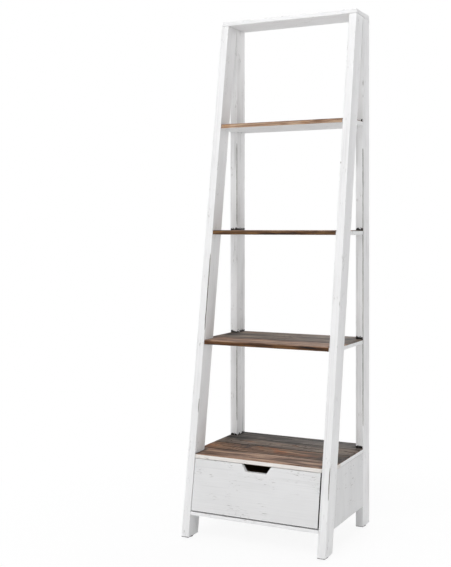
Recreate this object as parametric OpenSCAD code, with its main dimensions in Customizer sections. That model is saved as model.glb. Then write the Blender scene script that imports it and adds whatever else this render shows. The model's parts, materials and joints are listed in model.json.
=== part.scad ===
// Ladder shelf: two plumb back legs and two raked front legs that meet under a top board,
// three open shelves of edge-jointed planks, and a low case with one drawer that runs on
// ball-bearing slides.
// X runs across the width, Y to the back and Z up. The origin is on the floor, at the middle
// of the footprint.

/* [Overall] */
// Width across the outer faces of the legs
overall_w = 525; // [440:1:640]
// Depth on the floor, from the front feet to the back of the back legs
overall_d = 450; // [380:1:560]
// Height from the floor to the top face
overall_h = 1830; // [1500:1:2200]

/* [Legs] */
// Thickness of a leg, across the width of the shelf
leg_w = 28; // [23:1:40]
// Width of a leg seen from the side, square to its length
leg_d = 70; // [58:1:85]
// Diameter of a foot glide
glide_d = 22; // [16:1:26]
// Height of a foot glide
glide_t = 5; // [4:0.5:8]

/* [Boards] */
// Thickness of the top board and of the shelves
board_t = 16; // [14:1:22]
// Gap between a shelf's notches and the legs
notch_gap = 0.8; // [0.3:0.1:2]
// Depth and half width of the V groove between two planks
seam_v = 1; // [0.5:0.5:2]

/* [Case] */
// Height of the case's top face above the floor
box_top_z = 285; // [260:1:360]
// Height of the case's underside above the floor
box_floor_z = 80; // [50:1:100]
// Thickness of the bottom board
floor_t = 12; // [9:1:18]
// Thickness of the side panels
panel_t = 16; // [12:1:18]
// Thickness of the back panel
back_t = 12; // [9:1:16]
// How far the back panel is set in from the back of the legs
back_inset = 3; // [0:1:10]

/* [Drawer] */
// Gap at the sides of the drawer front and below it
drawer_gap = 2.5; // [1.5:0.5:4]
// Gap above the drawer front
drawer_top_gap = 1; // [1:0.5:4]
// Thickness of the drawer front
front_t = 16; // [14:1:22]
// Thickness of the drawer's sides and back
side_t = 12; // [10:1:16]
// Height of the drawer's sides and back
side_h = 130; // [110:1:140]
// Height of the drawer's sides above the lower edge of the drawer front
side_lift = 8; // [4:1:14]
// Thickness of the drawer's bottom
base_t = 5; // [4:1:8]
// Height of the bottom's groove above the lower edge of the sides
base_lift = 8; // [6:1:14]
// Depth of the grooves that hold the drawer's bottom
groove_depth = 5; // [4:1:7]

/* [Handle cut-out] */
// Width of the cut-out at the top edge of the drawer front
grip_top_w = 108; // [80:1:140]
// Width of the cut-out at its lower edge
grip_low_w = 74; // [50:1:110]
// Depth of the cut-out below the top edge
grip_h = 24.5; // [16:0.5:30]

/* [Slides] */
// Height of a slide
slide_h = 45; // [43:1:50]
// Thickness of a slide, from the leg to the drawer's side
slide_t = 12.7; // [12.7:0.1:14]
// Sheet thickness of the fixed channel
sheet_fixed = 1.2; // [1:0.1:1.5]
// Sheet thickness of the middle and drawer channels
sheet_moving = 1; // [0.8:0.1:1.2]
// Diameter of a bearing ball
ball_d = 3.2; // [2.8:0.1:3.5]
// Balls in each row
balls_in_row = 6; // [4:1:9]

/* [Hidden] */
$fn = 48;

// Dowels, in two sizes, and the play of the holes that they are glued into
dowel_d = 8;
dowel_len = 30;
dowel_pitch = 36;
top_dowel_rise = 10;
thin_dowel_d = 6;
thin_dowel_len = 24;
thin_dowel_in = 8;
dowel_play = 0.1;
dowel_end = 1;
dowel_edge = 35;

// Pan-head screws of the slides
screw_d = 3.5;
screw_len = 10;
screw_tip = 3;
screw_head_d = 6.5;
screw_head_t = 1.6;
screw_play = 0.1;
screw_hole_d = 4;
screw_end = 35;
cross_w = 0.9;
cross_l = 3.6;
cross_deep = 0.8;

// Nail of a foot glide
nail_d = 2.5;
nail_len = 22;
nail_floor = 2;
glide_chamfer = 1.5;

// Clearances and slide details
ball_play = 0.2;
cage_t = 0.6;
cage_w = 5.2;
cage_margin = 5;
cage_end = 12;
middle_x = 3.4;
fixed_reach = 9;
middle_reach = 6.8;
drawer_reach = 7.1;
fixed_ball_x = 6;
drawer_ball_x = 7.9;
slide_step = 50;
slide_front_gap = 2;
slide_back_room = 10;
slide_stop = 20;
batten_margin = 3;
base_play = 0.5;
cut_over = 1;

// Planks in the case top and in the lower, middle and upper shelves
plank_counts = [4, 3, 3, 2];
open_bays = 4;

// Rake of the front legs, worked out so that their back faces meet the back legs at the top
leg_top = overall_h - board_t;
rise = leg_top - glide_t;
reach = overall_d - leg_d;
rake = acos(leg_d / norm([rise, reach])) - atan2(rise, reach);
leg_run = leg_d / cos(rake);
front_run = front_t / cos(rake);
half_w = overall_w / 2;
half_d = overall_d / 2;
inner_x = half_w - leg_w;
panel_x = half_w - panel_t;
back_leg_front = half_d - leg_d;
back_leg_mid = half_d - leg_d / 2;

// Heights and planes of the case and the drawer
box_under_z = box_top_z - board_t;
floor_top_z = box_floor_z + floor_t;
back_face_y = half_d - back_inset;
front_z0 = floor_top_z + drawer_gap;
front_z1 = box_under_z - drawer_top_gap;
side_z0 = front_z0 + side_lift;
side_z1 = side_z0 + side_h;
base_z0 = side_z0 + base_lift;
base_z1 = base_z0 + base_t;
drawer_half_w = inner_x - slide_t;

// Places along the slides, whose length is the longest that fits in steps of slide_step
slide_z = (side_z0 + side_z1) / 2;
slide_y0 = front_y(slide_z + slide_h / 2) + front_run + slide_front_gap;
slide_room = back_face_y - back_t - slide_back_room - slide_y0;
slide_len = floor(slide_room / slide_step) * slide_step;
slide_y1 = slide_y0 + slide_len;
travel = slide_len - slide_stop;
drawer_back_y = slide_y1 + slide_front_gap;
cage_len = slide_len - travel / 2 - 2 * cage_margin;
cage_y0 = slide_y0 + travel / 4 + cage_margin;

// Half heights of the nested channels, from the fixed one inwards
fixed_half = slide_h / 2;
middle_half = fixed_half - sheet_fixed - ball_d - 2 * ball_play;
drawer_half = middle_half - sheet_moving - ball_d - 2 * ball_play;

paint = "#f1f0ec";
reclaimed = "#7b5a45";
plywood = "#d8c3a0";
beech = "#d3ad7c";
zinc = "#b9bcc0";
steel = "#8f9296";
nylon = "#2a2a2c";

// ---- Places ----

// Front plane of the raked legs at height z
function front_y(z) = -half_d + (z - glide_t) * tan(rake);

// Top face of board i: 0 is the case top, 1 to 3 are the shelves from the lowest up
function level_z(i) = box_top_z + i * (overall_h - box_top_z) / open_bays;

// Where the dowels of board i stand, two in each front leg and two in each back leg
function board_dowel_ys(i) = [
    for (s = [-1, 1], y = [front_y(level_z(i) - board_t / 2) + leg_run / 2, back_leg_mid])
        y + s * dowel_pitch / 2
];

// Boundary k of board i's planks, counted from the front
function plank_y(i, k) =
    front_y(level_z(i)) + k * (half_d - front_y(level_z(i))) / plank_counts[i];

// Heights of the dowels that join a side panel to the legs
panel_dowel_zs = [box_floor_z + dowel_edge, box_under_z - dowel_edge];

// Heights of the dowels in the drawer's corners
drawer_dowel_zs = [base_z1 + dowel_edge / 2, side_z1 - dowel_edge / 2];

// Places of the screws along a slide
screw_ys = [slide_y0 + screw_end, (slide_y0 + slide_y1) / 2, slide_y1 - screw_end];

// ---- Helpers ----

module along_x(x0, x1) {
    translate([x0, 0, 0]) rotate([90, 0, 90]) linear_extrude(x1 - x0) children();
}

module along_y(y0, y1) {
    translate([0, y1, 0]) rotate([90, 0, 0]) linear_extrude(y1 - y0) children();
}

module right_of_left() {
    mirror([1, 0, 0]) children();
}

module both_sides() {
    children();
    right_of_left() children();
}

// Side outline between two heights: its front edge follows the rake, set back by inset, and
// its back edge is plumb
module raked_outline(z0, z1, inset, back_y) {
    polygon([
        [front_y(z0) + inset, z0],
        [back_y, z0],
        [back_y, z1],
        [front_y(z1) + inset, z1]
    ]);
}

// A dowel lying along Z about its middle, or the hole that takes it
module dowel(d, len, hole) {
    cylinder(d = hole ? d + dowel_play : d, h = hole ? len + 2 * dowel_end : len, center = true);
}

// ---- Dowels and screws, drawn as pieces or as the holes that take them ----

module board_dowels(hole) {
    for (side = [-1, 1], i = [0 : len(plank_counts) - 1], y = board_dowel_ys(i))
        translate([side * inner_x, y, level_z(i) - board_t / 2])
            rotate([0, 90, 0]) dowel(dowel_d, dowel_len, hole);
}

// Upright dowels that stand out of the tops of the legs by top_dowel_rise
module leg_top_dowels(hole) {
    for (side = [-1, 1], s = [-1, 1], y = [front_y(leg_top) + leg_run / 2, back_leg_mid])
        translate([
            side * (half_w - leg_w / 2),
            y + s * dowel_pitch / 2,
            leg_top + top_dowel_rise - dowel_len / 2
        ])
            dowel(dowel_d, dowel_len, hole);
}

module floor_dowels(hole) {
    z = box_floor_z + floor_t / 2;
    for (side = [-1, 1], y = [front_y(z) + leg_run / 2, back_leg_mid])
        translate([side * inner_x, y, z])
            rotate([0, 90, 0]) dowel(thin_dowel_d, thin_dowel_len, hole);
}

module panel_dowels(hole) {
    for (side = [-1, 1], z = panel_dowel_zs, y = [front_y(z) + leg_run, back_leg_front])
        translate([side * (half_w - panel_t / 2), y, z])
            rotate([90, 0, 0]) dowel(dowel_d, dowel_len, hole);
}

module back_panel_dowels(hole) {
    for (side = [-1, 1], z = panel_dowel_zs)
        translate([side * inner_x, back_face_y - back_t / 2, z])
            rotate([0, 90, 0]) dowel(thin_dowel_d, thin_dowel_len, hole);
}

module drawer_front_dowels(hole) {
    for (side = [-1, 1], z = drawer_dowel_zs)
        translate([
            side * (drawer_half_w - side_t / 2),
            front_y(z) + front_run + thin_dowel_len / 2 - thin_dowel_in,
            z
        ])
            rotate([90, 0, 0]) dowel(thin_dowel_d, thin_dowel_len, hole);
}

module drawer_back_dowels(hole) {
    for (side = [-1, 1], z = drawer_dowel_zs)
        translate([
            side * (drawer_half_w - side_t + thin_dowel_in - thin_dowel_len / 2),
            drawer_back_y - side_t / 2,
            z
        ])
            rotate([0, 90, 0]) dowel(thin_dowel_d, thin_dowel_len, hole);
}

// Shank and point of a screw that enters wood along +Z from z = 0
module screw_shank(play) {
    cylinder(d = screw_d + play, h = screw_len - screw_tip);
    translate([0, 0, screw_len - screw_tip])
        cylinder(d1 = screw_d + play, d2 = play + 0.4, h = screw_tip);
}

module screw() {
    difference() {
        union() {
            screw_shank(0);
            translate([0, 0, -screw_head_t]) cylinder(d = screw_head_d, h = screw_head_t);
        }
        for (turn = [0, 90])
            rotate([0, 0, turn])
                translate([-cross_l / 2, -cross_w / 2, -screw_head_t - cut_over])
                    cube([cross_l, cross_w, cross_deep + cut_over]);
    }
}

// Puts its children at each screw of the left fixed channel, pointing into the leg
module at_fixed_screws() {
    for (y = screw_ys)
        translate([-inner_x + sheet_fixed, y, slide_z]) rotate([0, -90, 0]) children();
}

// Puts its children at each screw of the left drawer channel, pointing into the drawer's side
module at_drawer_screws() {
    for (y = screw_ys)
        translate([-drawer_half_w - sheet_moving, y, slide_z]) rotate([0, 90, 0]) children();
}

module at_left_glides() {
    for (y = [front_y(glide_t) + leg_run / 2, back_leg_mid])
        translate([-half_w + leg_w / 2, y, 0]) children();
}

module nail() {
    translate([0, 0, nail_floor]) cylinder(d = nail_d, h = nail_len);
}

// All holes in the frame's left half
module frame_holes() {
    board_dowels(true);
    leg_top_dowels(true);
    floor_dowels(true);
    panel_dowels(true);
    back_panel_dowels(true);
    at_fixed_screws() screw_shank(screw_play);
    at_left_glides() nail();
}

// ---- Frame ----

module left_front_leg() {
    color(paint)
        difference() {
            along_x(-half_w, -inner_x)
                polygon([
                    [front_y(glide_t), glide_t],
                    [front_y(glide_t) + leg_run, glide_t],
                    [front_y(leg_top) + leg_run, leg_top],
                    [front_y(leg_top), leg_top]
                ]);
            frame_holes();
        }
}

module left_back_leg() {
    color(paint)
        difference() {
            translate([-half_w, back_leg_front, glide_t]) cube([leg_w, leg_d, leg_top - glide_t]);
            frame_holes();
        }
}

module top_board() {
    color(paint)
        difference() {
            along_x(-half_w, half_w) raked_outline(leg_top, overall_h, 0, half_d);
            leg_top_dowels(true);
        }
}

// ---- Shelves ----

// Board i with its four notches: the middle passes between the legs, and the ears reach the
// outer faces between the front and back legs
module notched_board(i) {
    z1 = level_z(i);
    z0 = z1 - board_t;
    along_x(-inner_x + notch_gap, inner_x - notch_gap) raked_outline(z0, z1, 0, half_d);
    along_x(-half_w, half_w)
        raked_outline(z0, z1, leg_run + notch_gap, back_leg_front - notch_gap);
}

// Plank k of board i, counted from the front, with half a V groove along each joint
module plank(i, k) {
    z1 = level_z(i);
    front = k == 1 ? -half_d : plank_y(i, k - 1);
    color(reclaimed)
        difference() {
            intersection() {
                notched_board(i);
                translate([-half_w, front, z1 - board_t])
                    cube([overall_w, plank_y(i, k) - front, board_t]);
            }
            for (seam = [1 : plank_counts[i] - 1])
                along_x(-half_w - cut_over, half_w + cut_over)
                    polygon([
                        [plank_y(i, seam) - seam_v, z1],
                        [plank_y(i, seam), z1 - seam_v],
                        [plank_y(i, seam) + seam_v, z1]
                    ]);
            board_dowels(true);
        }
}

// ---- Case ----

module left_side_panel() {
    color(paint)
        difference() {
            along_x(-half_w, -panel_x)
                raked_outline(box_floor_z, box_under_z, leg_run, back_leg_front);
            panel_dowels(true);
            at_fixed_screws() screw_shank(screw_play);
        }
}

module back_panel() {
    color(paint)
        difference() {
            translate([-inner_x, back_face_y - back_t, floor_top_z])
                cube([2 * inner_x, back_t, box_under_z - floor_top_z]);
            back_panel_dowels(true);
        }
}

module bottom_board() {
    color(paint)
        difference() {
            union() {
                along_x(-inner_x, inner_x)
                    raked_outline(box_floor_z, floor_top_z, 0, back_face_y);
                along_x(-panel_x, panel_x)
                    raked_outline(box_floor_z, floor_top_z, leg_run, back_leg_front);
            }
            floor_dowels(true);
        }
}

// Packs out the side panel to the leg's inner face behind the slide
module left_slide_batten() {
    z0 = slide_z - slide_h / 2 - batten_margin;
    z1 = slide_z + slide_h / 2 + batten_margin;
    color(beech)
        difference() {
            along_x(-panel_x, -inner_x) raked_outline(z0, z1, leg_run, back_leg_front);
            at_fixed_screws() screw_shank(screw_play);
        }
}

// ---- Drawer ----

// The drawer's bottom, or with play the space of the grooves that hold it
module base_plate(play) {
    x = drawer_half_w - side_t + groove_depth + play;
    y0 = front_y(base_z1) + front_run - groove_depth - play;
    y1 = drawer_back_y - side_t + groove_depth + play;
    translate([-x, y0, base_z0]) cube([2 * x, y1 - y0, base_t]);
}

module grip_cutout() {
    along_y(-half_d - cut_over, 0)
        polygon([
            [-grip_low_w / 2, front_z1 - grip_h],
            [grip_low_w / 2, front_z1 - grip_h],
            [grip_top_w / 2, front_z1],
            [grip_top_w / 2, front_z1 + cut_over],
            [-grip_top_w / 2, front_z1 + cut_over],
            [-grip_top_w / 2, front_z1]
        ]);
}

module drawer_front() {
    color(paint)
        difference() {
            along_x(-inner_x + drawer_gap, inner_x - drawer_gap)
                polygon([
                    [front_y(front_z0), front_z0],
                    [front_y(front_z0) + front_run, front_z0],
                    [front_y(front_z1) + front_run, front_z1],
                    [front_y(front_z1), front_z1]
                ]);
            grip_cutout();
            base_plate(base_play);
            drawer_front_dowels(true);
        }
}

module drawer_left_side() {
    color(plywood)
        difference() {
            along_x(-drawer_half_w, -drawer_half_w + side_t)
                raked_outline(side_z0, side_z1, front_run, drawer_back_y);
            base_plate(base_play);
            drawer_front_dowels(true);
            drawer_back_dowels(true);
            at_drawer_screws() screw_shank(screw_play);
        }
}

module drawer_back() {
    x = drawer_half_w - side_t;
    color(plywood)
        difference() {
            translate([-x, drawer_back_y - side_t, side_z0]) cube([2 * x, side_t, side_h]);
            base_plate(base_play);
            drawer_back_dowels(true);
        }
}

module drawer_bottom() {
    color(plywood) base_plate(0);
}

// ---- Slides ----

// C section on edge: the back of its web at x = 0 and its lips reaching to x = lip
module channel_outline(lip, half_h, sheet) {
    difference() {
        translate([0, -half_h]) square([lip, 2 * half_h]);
        translate([sheet, -half_h + sheet]) square([lip, 2 * (half_h - sheet)]);
    }
}

module left_fixed_channel() {
    color(zinc)
        difference() {
            translate([-inner_x, 0, slide_z])
                along_y(slide_y0, slide_y1) channel_outline(fixed_reach, fixed_half, sheet_fixed);
            at_fixed_screws()
                translate([0, 0, -cut_over])
                    cylinder(d = screw_hole_d, h = sheet_fixed + 2 * cut_over);
        }
}

module left_middle_channel() {
    color(zinc)
        translate([-inner_x + middle_x, 0, slide_z])
            along_y(slide_y0, slide_y1) channel_outline(middle_reach, middle_half, sheet_moving);
}

module left_drawer_channel() {
    color(zinc)
        difference() {
            translate([-drawer_half_w, 0, slide_z])
                mirror([1, 0, 0])
                    along_y(slide_y0, slide_y1)
                        channel_outline(drawer_reach, drawer_half, sheet_moving);
            at_drawer_screws()
                translate([0, 0, -cut_over])
                    cylinder(d = screw_hole_d, h = sheet_moving + 2 * cut_over);
        }
}

// Puts its children at each ball of the two rows that run at x on the channel of half height
// half_h, on the left slide
module at_balls(x, half_h) {
    pitch = (cage_len - 2 * cage_end) / (balls_in_row - 1);
    for (s = [-1, 1], k = [0 : balls_in_row - 1])
        translate([
            -inner_x + x,
            cage_y0 + cage_end + k * pitch,
            slide_z + s * (half_h + ball_play + ball_d / 2)
        ])
            children();
}

// Two perforated strips that space the balls
module cage(x, half_h) {
    color(steel)
        difference() {
            for (s = [-1, 1])
                translate([
                    -inner_x + x - cage_w / 2,
                    cage_y0,
                    slide_z + s * (half_h + ball_play + ball_d / 2) - cage_t / 2
                ])
                    cube([cage_w, cage_len, cage_t]);
            at_balls(x, half_h) cylinder(d = ball_d + ball_play, h = ball_d, center = true);
        }
}

module balls(x, half_h) {
    color(steel) at_balls(x, half_h) sphere(d = ball_d);
}

// ---- Fixings and feet ----

module shelf_dowels() {
    color(beech) board_dowels(false);
}

module top_dowels() {
    color(beech) leg_top_dowels(false);
}

module case_dowels() {
    color(beech) {
        floor_dowels(false);
        panel_dowels(false);
        back_panel_dowels(false);
    }
}

module drawer_dowels() {
    color(beech) {
        drawer_front_dowels(false);
        drawer_back_dowels(false);
    }
}

module fixed_channel_screws() {
    color(steel) both_sides() at_fixed_screws() screw();
}

module drawer_channel_screws() {
    color(steel) both_sides() at_drawer_screws() screw();
}

module foot_glides() {
    color(nylon)
        both_sides()
            at_left_glides()
                difference() {
                    rotate_extrude()
                        polygon([
                            [0, 0],
                            [glide_d / 2 - glide_chamfer, 0],
                            [glide_d / 2, glide_chamfer],
                            [glide_d / 2, glide_t],
                            [0, glide_t]
                        ]);
                    nail();
                }
}

module glide_nails() {
    color(steel) both_sides() at_left_glides() nail();
}

left_front_leg();
right_of_left() left_front_leg();  // right_front_leg
left_back_leg();
right_of_left() left_back_leg();  // right_back_leg
top_board();
plank(3, 1);  // upper_shelf_plank_1
plank(3, 2);  // upper_shelf_plank_2
plank(2, 1);  // middle_shelf_plank_1
plank(2, 2);  // middle_shelf_plank_2
plank(2, 3);  // middle_shelf_plank_3
plank(1, 1);  // lower_shelf_plank_1
plank(1, 2);  // lower_shelf_plank_2
plank(1, 3);  // lower_shelf_plank_3
plank(0, 1);  // box_top_plank_1
plank(0, 2);  // box_top_plank_2
plank(0, 3);  // box_top_plank_3
plank(0, 4);  // box_top_plank_4
left_side_panel();
right_of_left() left_side_panel();  // right_side_panel
back_panel();
bottom_board();
left_slide_batten();
right_of_left() left_slide_batten();  // right_slide_batten
drawer_front();
drawer_left_side();
right_of_left() drawer_left_side();  // drawer_right_side
drawer_back();
drawer_bottom();
left_fixed_channel();
right_of_left() left_fixed_channel();  // right_fixed_channel
left_middle_channel();
right_of_left() left_middle_channel();  // right_middle_channel
left_drawer_channel();
right_of_left() left_drawer_channel();  // right_drawer_channel
cage(fixed_ball_x, middle_half);  // left_fixed_cage
right_of_left() cage(fixed_ball_x, middle_half);  // right_fixed_cage
cage(drawer_ball_x, drawer_half);  // left_drawer_cage
right_of_left() cage(drawer_ball_x, drawer_half);  // right_drawer_cage
balls(fixed_ball_x, middle_half);  // left_fixed_balls
right_of_left() balls(fixed_ball_x, middle_half);  // right_fixed_balls
balls(drawer_ball_x, drawer_half);  // left_drawer_balls
right_of_left() balls(drawer_ball_x, drawer_half);  // right_drawer_balls
shelf_dowels();
top_dowels();
case_dowels();
drawer_dowels();
fixed_channel_screws();
drawer_channel_screws();
foot_glides();
glide_nails();
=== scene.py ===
"""Ladder shelf with a drawer: its finished look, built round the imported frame.

Four white painted legs lean into a top board, four boards of brown planks pass between them,
and a drawer on ball-bearing slides fills the case at the bottom.
"""

import json
import logging
import math
from collections.abc import Callable, Mapping, Sequence
from dataclasses import dataclass, field, replace
from enum import Enum
from functools import partial

import bmesh
import bpy
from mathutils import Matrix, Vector, noise


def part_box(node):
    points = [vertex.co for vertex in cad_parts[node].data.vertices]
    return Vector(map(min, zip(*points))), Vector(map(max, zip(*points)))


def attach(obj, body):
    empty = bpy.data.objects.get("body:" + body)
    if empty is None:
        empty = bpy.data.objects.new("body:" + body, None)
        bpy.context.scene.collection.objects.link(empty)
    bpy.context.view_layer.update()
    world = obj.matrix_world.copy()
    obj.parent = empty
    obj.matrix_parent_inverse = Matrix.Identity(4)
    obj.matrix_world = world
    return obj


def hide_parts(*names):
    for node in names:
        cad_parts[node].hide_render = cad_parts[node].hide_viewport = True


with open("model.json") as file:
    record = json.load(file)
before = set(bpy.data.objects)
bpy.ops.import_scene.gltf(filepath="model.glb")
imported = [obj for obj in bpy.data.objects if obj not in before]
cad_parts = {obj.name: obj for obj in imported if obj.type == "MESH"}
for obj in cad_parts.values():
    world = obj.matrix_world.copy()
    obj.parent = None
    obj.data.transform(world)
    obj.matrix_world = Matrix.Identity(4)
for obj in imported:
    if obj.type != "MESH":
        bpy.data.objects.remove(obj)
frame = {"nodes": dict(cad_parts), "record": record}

LOG = logging.getLogger("ladder_shelf")
BODY_OF = {
    node: body
    for body, nodes in frame["record"]["behaviour"]["bodies"].items()
    for node in nodes
}
HAIR = 1e-4  # how near two places are, in metres, to count as one
Test = Callable[[Vector, Vector], bool]
Input = float | Sequence[float] | bpy.types.NodeSocket | bpy.types.Node


class Part(Enum):
    """What a selection picks."""

    VERT = "VERT"
    EDGE = "EDGE"
    FACE = "FACE"


class Grain(Enum):
    """The axis that the grain of a piece runs along."""

    ACROSS = 0
    DEEP = 1
    UPRIGHT = 2


class Slot(Enum):
    """The record's material slots."""

    PAINT = "white_paint"
    PLANK = "reclaimed_pine"
    PLYWOOD = "drawer_plywood"
    BEECH = "beech"
    ZINC = "zinc_plated_steel"
    STEEL = "bright_steel"
    NYLON = "black_nylon"


# ---- Colour and nodes ----


def linear(hex_code: str) -> tuple[float, float, float, float]:
    """Turns an sRGB hex colour into linear values.

    Args:
        hex_code: Six hex digits.

    Returns:
        Red, green, blue and a full alpha.
    """
    parts = [int(hex_code[k : k + 2], 16) / 255.0 for k in (0, 2, 4)]
    red, green, blue = (p / 12.92 if p <= 0.04045 else ((p + 0.055) / 1.055) ** 2.4 for p in parts)
    return red, green, blue, 1.0


def add(
    tree: bpy.types.NodeTree,
    kind: str,
    inputs: Mapping[str | int, Input] | None = None,
    stops: Sequence[tuple[float, str]] = (),
    **settings: object,
) -> bpy.types.Node:
    """Adds a node with its settings and links.

    Args:
        tree: The material's or world's node tree.
        kind: The node's type name, without its prefix.
        inputs: For each input, the node or socket that feeds it, or the value it holds.
        stops: Places and hex colours of a colour ramp.
        settings: The node's own properties.

    Returns:
        The node. Given as an input, it stands for its first output in use.
    """
    made = tree.nodes.new(f"ShaderNode{kind}")
    for name, value in settings.items():
        setattr(made, name, value)
    for k, (place, colour) in enumerate(stops):
        ramp = made.color_ramp.elements
        stop = ramp[k] if k < len(ramp) else ramp.new(place)
        stop.position = place
        stop.color = linear(colour)
    for key, value in (inputs or {}).items():
        if isinstance(value, bpy.types.Node):
            value = next(out for out in value.outputs if out.enabled)
        if isinstance(value, bpy.types.NodeSocket):
            tree.links.new(value, made.inputs[key])
        else:
            made.inputs[key].default_value = value
    return made


def new_material(name: str) -> tuple[bpy.types.Material, Callable[..., bpy.types.Node]]:
    """Starts an empty material, and binds add to its node tree."""
    made = bpy.data.materials.new(name)
    made.use_nodes = True
    made.node_tree.nodes.clear()
    return made, partial(add, made.node_tree)


def sized(grain: Grain, along: float, across: float) -> tuple[float, float, float]:
    """Works out a Mapping scale that makes one pattern cell of a real size.

    Args:
        grain: The axis the pattern is drawn out along.
        along: Cell length in metres.
        across: Cell width in metres.

    Returns:
        The scale on each axis.
    """
    scale = [1.0 / across] * 3
    scale[grain.value] = 1.0 / along
    return scale[0], scale[1], scale[2]


# ---- Finishes ----


@dataclass(frozen=True)
class PaintedPine:
    """Satin white paint brushed over pine, rubbed through where hands and boxes pass.

    Soft sheen with faint brush lines along the grain, grey wood where the arrises are bare,
    clusters of short scratches, a few nicks, and grey grime in lines where it has gathered.
    """

    name: str
    grain: Grain
    seed: int = 0
    tilt: float = 0.0
    marks: float = 1.0
    streaky: float = 0.10
    cuts: Grain | None = None
    paint: str = "EFEFEF"
    shade: str = "E9E9E9"
    grime: str = "9A9997"
    bare: str = "8C857D"
    bare_dark: str = "4B453F"
    wax_and_shade: str = "1A1410"

    def make(self) -> bpy.types.Material:
        """Builds the material.

        Returns:
            The material, which reads the attribute rub and the attribute of dark wax and painted
            shadow.
        """
        made, node = new_material(self.name)
        cuts = self.cuts or self.grain
        turned = node(
            "Mapping",
            {
                "Vector": node("TexCoord").outputs["Object"],
                "Location": (0.731 * self.seed, 0.377 * self.seed, 0.193 * self.seed),
                "Rotation": (self.tilt, 0.0, 0.0),
            },
        )
        # cell length and width in metres, and detail; brush hairs are about 0.4 mm, drawn at
        # 1.2 mm so that they show
        layer = {
            key: node(
                "TexNoise",
                {
                    "Vector": node(
                        "Mapping",
                        {"Vector": turned, "Scale": sized(grain, along, across)},
                    ),
                    "Scale": 1.0,
                    "Detail": detail,
                    "Roughness": 0.55,
                },
            )
            for key, grain, along, across, detail in (
                ("brush", self.grain, 0.09, 0.0012, 1.0),
                ("streaks", self.grain, 0.14, 0.0035, 3.0),
                ("cloud", self.grain, 0.16, 0.09, 2.0),
                ("ragged", self.grain, 0.022, 0.0032, 4.0),
                ("scratch", cuts, 0.020, 0.0018, 2.0),
                ("patch", cuts, 0.07, 0.04, 1.0),
                ("grime", self.grain, 0.30, 0.0045, 2.0),
                ("gathered", self.grain, 0.14, 0.05, 1.0),
                ("dabs", self.grain, 0.006, 0.009, 2.0),
            )
        }
        rub, wax_and_shade = (
            node("Attribute", attribute_name=key, attribute_type="GEOMETRY")
            for key in ("rub", "wax_and_shade")
        )

        # bare wood where the attribute rub is high, with an edge broken by the grain; dark where
        # the
        # wax and shade attribute is high: wax dabbed beside each board, painted shadow at the
        # drawer's gaps and the feet
        worn, smeared_and_shaded = (
            node(
                "MapRange",
                {
                    "Value": node(
                        "Math",
                        {0: layer[key], 1: gain, 2: mask},
                        operation="MULTIPLY_ADD",
                    ),
                    "From Min": low,
                    "From Max": high,
                },
                interpolation_type="SMOOTHSTEP",
            )
            for key, gain, mask, low, high in (
                ("ragged", 0.9, rub, 0.92, 1.12),
                ("dabs", 1.1, wax_and_shade, 0.86, 0.94),
            )
        )

        # nicks of about 1.5 by 4 mm, a few to each 100 mm square
        cells = node(
            "TexVoronoi",
            {
                "Vector": node("Mapping", {"Vector": turned, "Scale": sized(cuts, 0.055, 0.02)}),
                "Scale": 1.0,
            },
        )
        near = node(
            "MapRange",
            {
                "Value": node(
                    "Math",
                    {0: layer["ragged"], 1: 0.16, 2: cells.outputs["Distance"]},
                    operation="MULTIPLY_ADD",
                ),
                "From Min": 0.17,
                "From Max": 0.12,
            },
        )
        chosen = node(
            "Math",
            {
                0: node("SeparateColor", {"Color": cells.outputs["Color"]}),
                1: 1.0 - 0.06 * self.marks,
            },
            operation="GREATER_THAN",
        )
        nick = node("Math", {0: near, 1: chosen}, operation="MULTIPLY")

        # fine scratches along the grain in clusters, and grime in lines where it has gathered
        shown = {
            key: node(
                "MapRange",
                {"Value": layer[key], "From Min": low, "From Max": high, "To Max": most},
            )
            for key, low, high, most in (
                ("patch", 0.62 - 0.06 * self.marks, 0.72 - 0.06 * self.marks, 1.0),
                ("scratch", 0.60, 0.70, 0.75),
                ("gathered", 0.42, 0.62, self.streaky),
                ("grime", 0.50, 0.66, 1.0),
            )
        }
        fine, grimed = (
            node("Math", {0: shown[one], 1: shown[other]}, operation="MULTIPLY")
            for one, other in (("scratch", "patch"), ("gathered", "grime"))
        )
        bare = node(
            "Math",
            {0: worn, 1: node("Math", {0: nick, 1: fine}, operation="MAXIMUM")},
            operation="MAXIMUM",
        )

        clouded = node("Mix", {"Factor": 0.55, 2: layer["streaks"], 3: layer["cloud"]})
        colour = node("ValToRGB", {"Fac": clouded}, stops=((0.36, self.shade), (0.60, self.paint)))
        wood = node(
            "ValToRGB",
            {"Fac": layer["streaks"]},
            stops=((0.38, self.bare_dark), (0.60, self.bare)),
        )
        for factor, over in (
            (grimed, linear(self.grime)),
            (bare, wood),
            (smeared_and_shaded, linear(self.wax_and_shade)),
        ):
            colour = node("Mix", {"Factor": factor, 6: colour, 7: over}, data_type="RGBA")

        skin = node("Mix", {"Factor": 0.65, 2: layer["brush"], 3: layer["streaks"]})
        bump = node(
            "Bump",
            {
                "Strength": 0.3,
                "Distance": 0.0001,
                "Height": node("Math", {0: skin, 1: bare}, operation="SUBTRACT"),
            },
        )
        rough = node(
            "MapRange",
            {
                "Value": node(
                    "Math",
                    {0: layer["brush"], 1: 0.3, 2: bare},
                    operation="MULTIPLY_ADD",
                ),
                "To Min": 0.42,
                "To Max": 0.68,
            },
        )
        shader = node(
            "BsdfPrincipled",
            {"Base Color": colour, "Roughness": rough, "Normal": bump, "IOR": 1.47},
        )
        node("OutputMaterial", {"Surface": shader})
        return made


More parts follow.
